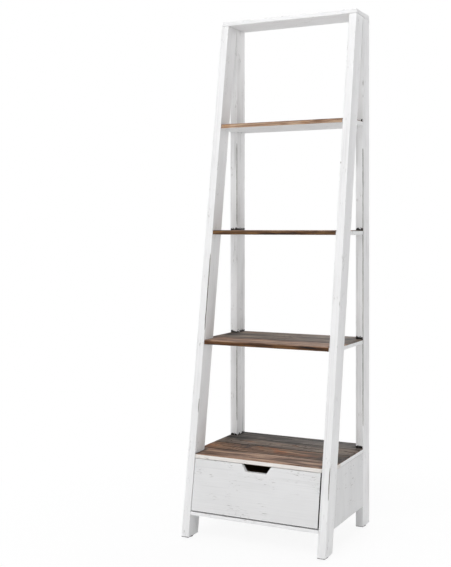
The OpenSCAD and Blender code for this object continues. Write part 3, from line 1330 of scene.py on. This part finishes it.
@dataclass
class Drawer:
    """The drawer: a painted front with a cut grip, on a plywood box."""

    rake: Rake
    grip_top: float = 0.108
    grip_low: float = 0.074
    grip_deep: float = 0.0245
    ease: float = 0.0006
    support: float = 0.0032
    groove: float = 0.005
    joint_shadow: float = 0.75
    fade: float = 0.0004

    def build(self) -> None:
        """Makes the front, the sides, the back and the bottom."""
        self._front()
        sides, across, base = (
            BareWood(f"lacquered_birch_plywood_{part}", grain, light, dark, "8F6B42", plies).make()
            for part, grain, light, dark, plies in (
                ("sides", Grain.DEEP, "DCC29A", "C9A777", Grain.ACROSS),
                ("back", Grain.ACROSS, "DCC29A", "C9A777", Grain.DEEP),
                ("bottom", Grain.ACROSS, "E0C8A2", "CFAF80", Grain.UPRIGHT),
            )
        )
        self._side("drawer_left_side", 1.0, sides)
        self._side("drawer_right_side", -1.0, sides)
        self._back(across)
        self._bottom(base)

    def _front(self) -> None:
        """Cuts the raked front with the grip in its top edge."""
        low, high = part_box("drawer_front")
        lean = self.rake.slope * (high.z - low.z)
        front = Workpiece("worn_drawer_front", low, Vector((high.x, high.y - lean, high.z)))
        front.shift(Part.VERT, lambda p, _: p.z > high.z - HAIR, (0.0, lean, 0.0))

        # the grip: two slanting cuts and a level one, the waste knocked out, the cut walled
        floor_z = high.z - self.grip_deep
        flare = (self.grip_top - self.grip_low) / 2.0
        for side in (-1.0, 1.0):
            front.saw(
                (side * self.grip_low / 2.0, 0.0, floor_z),
                (self.grip_deep, 0.0, -side * flare),
            )
        front.saw((0.0, 0.0, floor_z), (0.0, 0.0, 1.0))

        def half(place: Vector) -> float:
            """Half of the grip's width at a point's height."""
            return self.grip_low / 2.0 + flare * (place.z - floor_z) / self.grip_deep

        def waste(place: Vector, _: Vector) -> bool:
            """Whether a face lies in the grip."""
            return place.z > floor_z and abs(place.x) < half(place)

        front.pick(Part.FACE, waste)
        bpy.ops.mesh.delete(type="FACE")

        def rim(place: Vector, way: Vector) -> bool:
            """Whether an edge borders the grip on the front or the back face."""
            slanting = floor_z < place.z < high.z - HAIR and abs(abs(place.x) - half(place)) < 1e-5
            level = abs(place.z - floor_z) < 1e-5 and abs(place.x) < self.grip_low / 2.0
            return abs(way.y) < 0.9 and (slanting or level)

        front.pick(Part.EDGE, rim)
        bpy.ops.mesh.bridge_edge_loops()
        bpy.ops.mesh.select_all(action="SELECT")
        bpy.ops.mesh.normals_make_consistent(inside=False)

        s = self.support
        for y in (low.y + s, high.y - lean - s):
            front.saw((0.0, y, low.z), self.rake.normal)
        edges = [low.x + s, high.x - s]
        grip = [side * (self.grip_top / 2.0 + s) for side in (-1.0, 1.0)]
        front.score(Grain.ACROSS, sorted(edges + grip + steps(low.x, high.x, 0.02)))
        front.score(
            Grain.UPRIGHT,
            sorted([low.z + s, high.z - s, floor_z - s, *steps(low.z, high.z, 0.02)]),
        )
        # the gaps under and beside the front are painted dark on its arrises as their shadow
        joint = 2.0 * self.ease

        def wax_and_shade(place: Vector) -> float:
            """Painted shadow of the gaps, along the bottom arris and down the right one."""
            return self.joint_shadow * (place.z < low.z + joint or place.x > high.x - joint)

        front.score(Grain.ACROSS, (high.x - joint - self.fade,))
        front.score(Grain.UPRIGHT, (low.z + joint + self.fade,))
        front.ease(self.ease)
        piece = front.close(0.0006, 0.03, patchy(51, 0.0, 0.5, 0.05), wax_and_shade)
        own = {"marks": 1.6, "paint": "E4E4E4", "shade": "DEDEDE"}
        whiten(piece, "drawer_front", Grain.ACROSS, 51, **own)

    def _side(self, node: str, inward: float, finish: bpy.types.Material) -> None:
        """Cuts a side, its front end raked to the front and a groove for the bottom.

        Args:
            node: The frame node of the side.
            inward: 1 if the drawer's middle is towards +X, else -1.
            finish: Its plywood.
        """
        low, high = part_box(node)
        base_low, base_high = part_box("drawer_bottom")
        lean = self.rake.slope * (high.z - low.z)
        side = Workpiece(f"worn_{node}", low, high)
        side.lean(low, high, lean)
        side.score(Grain.UPRIGHT, (base_low.z - HAIR, base_high.z + HAIR))
        side.pull(
            lambda p, n: n.x * inward > 0.9 and base_low.z < p.z < base_high.z,
            (-inward * self.groove, 0.0, 0.0),
        )
        side.score(Grain.DEEP, steps(low.y, high.y, 0.04))
        self._finish_ply(side, node, finish)

    def _back(self, finish: bpy.types.Material) -> None:
        """Cuts the back, with its groove."""
        low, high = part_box("drawer_back")
        base_low, base_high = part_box("drawer_bottom")
        back = Workpiece("worn_drawer_back", low, high)
        back.score(Grain.UPRIGHT, (base_low.z - HAIR, base_high.z + HAIR))
        back.pull(
            lambda p, n: n.y < -0.9 and base_low.z < p.z < base_high.z,
            (0.0, self.groove, 0.0),
        )
        back.score(Grain.ACROSS, steps(low.x, high.x, 0.04))
        self._finish_ply(back, "drawer_back", finish)

    def _bottom(self, finish: bpy.types.Material) -> None:
        """Cuts the thin bottom, scored just inside its edges where they enter the grooves."""
        low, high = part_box("drawer_bottom")
        base = Workpiece("worn_drawer_bottom", low, high)
        reach = self.groove + 0.0005
        base.score(Grain.ACROSS, (low.x + reach, high.x - reach))
        base.score(Grain.DEEP, (low.y + reach, high.y - reach))
        self._finish_ply(base, "drawer_bottom", finish)

    def _finish_ply(self, piece: Workpiece, node: str, finish: bpy.types.Material) -> None:
        """Eases a plywood part and marks the faces where its plies show."""
        piece.ease(0.0006)
        low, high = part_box(node)
        size = high - low
        thin = min(range(3), key=lambda k: size[k])
        done = piece.close(0.0002, 0.03, lambda _: 0.0)
        shown = [float(abs(f.normal[thin]) < 0.5) for f in done.data.polygons]
        done.data.attributes.new("edge", "FLOAT", "FACE").data.foreach_set("value", shown)
        paint(done, finish)
        hang(done, node, Slot.PLYWOOD)


@dataclass
class Slides:
    """The ball-bearing slides, whose rolled shapes are the frame's own."""

    sides: Sequence[str] = ("left", "right")

    def build(self) -> None:
        """Gives the channels, cages, balls and screws their metals."""
        zinc = PlatedSteel("rolled_zinc_plated_steel", "C9CDD2", "A9AEB6", 0.34).make()
        bright = PlatedSteel("ground_bright_steel", "D6D8DA", "BDBFC2", 0.16).make()
        for side in self.sides:
            for part in ("fixed_channel", "middle_channel", "drawer_channel"):
                dress(f"{side}_{part}", zinc, Slot.ZINC)
            for row in ("fixed", "drawer"):
                dress(f"{side}_{row}_cage", bright, Slot.STEEL)
                dress(f"{side}_{row}_balls", bright, Slot.STEEL)
        for node in ("fixed_channel_screws", "drawer_channel_screws"):
            dress(node, bright, Slot.STEEL)
        LOG.info("slides: %d sides dressed", len(self.sides))


@dataclass
class Hardware:
    """Dowels, battens, glides and their nails."""

    dowels: Sequence[str] = ("shelf_dowels", "top_dowels", "case_dowels", "drawer_dowels")

    def build(self) -> None:
        """Gives the small parts their materials."""
        beech = BareWood(
            "bare_turned_beech", Grain.ACROSS, "C9A27A", "B38860", "7D5433", gloss=0.6
        ).make()
        for node in (*self.dowels, "left_slide_batten", "right_slide_batten"):
            dress(node, beech, Slot.BEECH)
        dress("foot_glides", MouldedNylon("moulded_black_nylon").make(), Slot.NYLON)
        nails = PlatedSteel("drawn_bright_steel_nails", "CFD1D3", "B4B6B9", 0.3).make()
        dress("glide_nails", nails, Slot.STEEL)
        LOG.info("hardware dressed")


# ---- Studio ----


@dataclass(frozen=True)
class Lamp:
    """A soft box of the studio."""

    name: str
    power: float
    size: tuple[float, float]
    place: tuple[float, float, float]
    aim: tuple[float, float, float] = (0.0, 0.0, 1.0)

    def hang(self) -> None:
        """Hangs the soft box, turned to its aim and out of the camera's sight."""
        data = bpy.data.lights.new(self.name, "AREA")
        data.shape = "RECTANGLE"
        data.size, data.size_y = self.size
        data.energy = self.power
        lamp = bpy.data.objects.new(self.name, data)
        bpy.context.scene.collection.objects.link(lamp)
        lamp.location = self.place
        aim = Vector(self.aim) - Vector(self.place)
        lamp.rotation_euler = aim.to_track_quat("-Z", "Y").to_euler()
        lamp.visible_camera = False


@dataclass
class Studio:
    """A plain pale floor, soft boxes all round, and the camera."""

    place: tuple[float, float, float] = (1.3739, -3.1488, 1.0656)
    yaw: float = 26.635
    lens: float = 61.88
    lift: float = -0.0980
    ambient: float = 0.30
    near_white: float = 0.9
    sweep: tuple[float, float] = (0.5, 1.3)
    lamps: Sequence[Lamp] = (
        Lamp("front_left", 23.0, (2.0, 3.0), (-2.6, -3.2, 2.2)),
        Lamp("front_right", 29.0, (2.0, 3.0), (3.0, -3.0, 2.2)),
        Lamp("front_high", 136.0, (3.0, 3.0), (0.0, -3.6, 5.0), (0.0, 0.0, 1.0)),
        Lamp("back", 55.0, (3.0, 3.0), (0.0, 4.0, 2.4)),
        Lamp("side_right", 19.0, (3.0, 3.0), (4.0, 1.0, 1.6)),
        Lamp("side_left", 24.0, (3.0, 3.0), (-4.0, 1.0, 1.6)),
        Lamp("overhead", 105.0, (4.0, 4.0), (0.0, 1.5, 6.0), (0.0, 0.0, 0.4)),
    )

    def build(self) -> None:
        """Sets the stage."""
        self._camera()
        self._floor()
        self._room()
        for lamp in self.lamps:
            lamp.hang()
        view = bpy.context.scene.view_settings
        view.view_transform = "Standard"
        view.look = "None"
        LOG.info("studio: %d lamps", len(self.lamps))

    def _camera(self) -> None:
        """Places the camera level, aimed past the shelf's middle."""
        data = bpy.data.cameras.new("camera")
        data.lens = self.lens
        data.shift_y = self.lift
        data.clip_end = 50.0
        camera = bpy.data.objects.new("camera", data)
        bpy.context.scene.collection.objects.link(camera)
        camera.location = self.place
        camera.rotation_euler = (math.radians(90.0), 0.0, math.radians(self.yaw))
        bpy.context.scene.camera = camera

    def _floor(self) -> None:
        """Lays a wide sheet of white paper, lit so that it runs into the wall unseen."""
        bpy.ops.object.select_all(action="DESELECT")
        bpy.ops.mesh.primitive_plane_add(size=30.0)
        floor = bpy.context.active_object
        floor.name = "floor"
        made, node = new_material("matt_white_paper")
        place = node("TexCoord").outputs["Object"]
        fibres = node("TexNoise", {"Vector": place, "Scale": 1.0 / 0.4, "Detail": 2.0})
        paper = node(
            "BsdfPrincipled",
            {
                "Base Color": node(
                    "ValToRGB", {"Fac": fibres}, stops=((0.3, "F0F0F0"), (0.7, "F3F3F3"))
                ),
                "Roughness": 0.9,
                "Specular IOR Level": 0.1,
            },
        )
        away = node("VectorMath", {0: place}, operation="LENGTH").outputs["Value"]
        near, far = self.sweep
        white = node(
            "MapRange",
            {"Value": away, "From Min": near, "From Max": far, "To Min": self.near_white},
            interpolation_type="SMOOTHSTEP",
        )
        seen = node(
            "Math",
            {0: node("LightPath").outputs["Is Camera Ray"], 1: white},
            operation="MULTIPLY",
        )
        lit = node("Emission", {"Color": linear("FFFFFF"), "Strength": 1.0})
        mixed = node("MixShader", {0: seen, 1: paper, 2: lit})
        node("OutputMaterial", {"Surface": mixed})
        floor.data.materials.append(made)

    def _room(self) -> None:
        """Sets a dim even room that the camera sees as a white wall."""
        world = bpy.data.worlds.new("studio")
        bpy.context.scene.world = world
        world.use_nodes = True
        world.node_tree.nodes.clear()
        node = partial(add, world.node_tree)
        room, wall = (
            node("Background", {"Color": linear(colour), "Strength": strength})
            for colour, strength in (("FDFDFF", self.ambient), ("FFFFFF", 1.0))
        )
        seen = node("LightPath").outputs["Is Camera Ray"]
        mixed = node("MixShader", {0: seen, 1: room, 2: wall})
        node("OutputWorld", {"Surface": mixed})


def main() -> None:
    """Builds the shelf from the legs to the hardware, then the studio."""
    logging.basicConfig(level=logging.INFO, format="%(name)s: %(message)s")
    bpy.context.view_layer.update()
    rake = Rake()
    tops = [
        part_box(f"{stem}_1")[1].z
        for stem in (
            "box_top_plank",
            "lower_shelf_plank",
            "middle_shelf_plank",
            "upper_shelf_plank",
        )
    ]
    Ladder(
        rake,
        {"left_back_leg": 0.6, "right_back_leg": 0.3},
        board_tops=tops,
        rubs={
            "left_front_leg": (Rub(0.705, 0.987), Rub(0.414, 0.482)),
            "left_back_leg": (Rub(0.323, 0.624), Rub(1.07, 1.39, 0.7)),
            "right_back_leg": (Rub(0.350, 1.359), Rub(1.554, 1.607)),
            "right_front_leg": (Rub(0.189, 0.304),),
        },
    ).build()
    tan, barn = PlankTone.TAN, PlankTone.BARN
    # each plank's seed, tone, saw marks and amber, counted from the front
    boards = {
        "box_top_plank": (
            "case",
            (
                (1, tan, 0.1, 0.2),
                (2, PlankTone.RUSSET, 0.7, 0.7),
                (3, barn, 0.8, 0.3),
                (4, PlankTone.SMOKE, 0.4, 0.1),
            ),
        ),
        "lower_shelf_plank": (
            "lower",
            ((5, tan, 0.2, 0.3), (6, barn, 0.7, 0.1), (7, barn, 0.5, 0.1)),
        ),
        "middle_shelf_plank": (
            "middle",
            ((8, tan, 0.2, 0.6), (9, barn, 0.6, 0.3), (10, barn, 0.5, 0.3)),
        ),
        "upper_shelf_plank": ("upper", ((13, tan, 0.1, 0.4), (14, barn, 0.5, 0.3))),
    }
    fronts = {
        "lower_shelf_plank": ReclaimedPine(
            "waxed_reclaimed_pine_lower_edge", 15, PlankTone.UMBER, 0.0, 0.3
        ),
        "middle_shelf_plank": ReclaimedPine(
            "waxed_reclaimed_pine_middle_edge", 16, PlankTone.RUST, 0.0, 0.3
        ),
        "upper_shelf_plank": ReclaimedPine(
            "waxed_reclaimed_pine_upper_edge", 17, PlankTone.HONEY, 0.0, 0.4, "CDB79C"
        ),
    }
    dark = {
        "box_top_plank": (
            (-0.20, 0.12, 0.10),
            (-0.12, 0.0, 0.04),
            (-0.234, -0.165, 0.022),
            (-0.234, -0.115, 0.026),
            (0.24, -0.03, 0.14),
        ),
        "lower_shelf_plank": ((-0.22, 0.08, 0.07), (0.21, 0.13, 0.05)),
    }
    for stem, (place, woods) in boards.items():
        planks = [
            ReclaimedPine(f"waxed_reclaimed_pine_{place}_{k}", *wood)
            for k, wood in enumerate(woods, 1)
        ]
        PlankBoard(rake, stem, planks, fronts.get(stem), dabs=dark.get(stem, ())).build()
    Case(rake).build()
    Drawer(rake).build()
    Slides().build()
    Hardware().build()
    Studio().build()


if __name__ == "__main__":
    main()
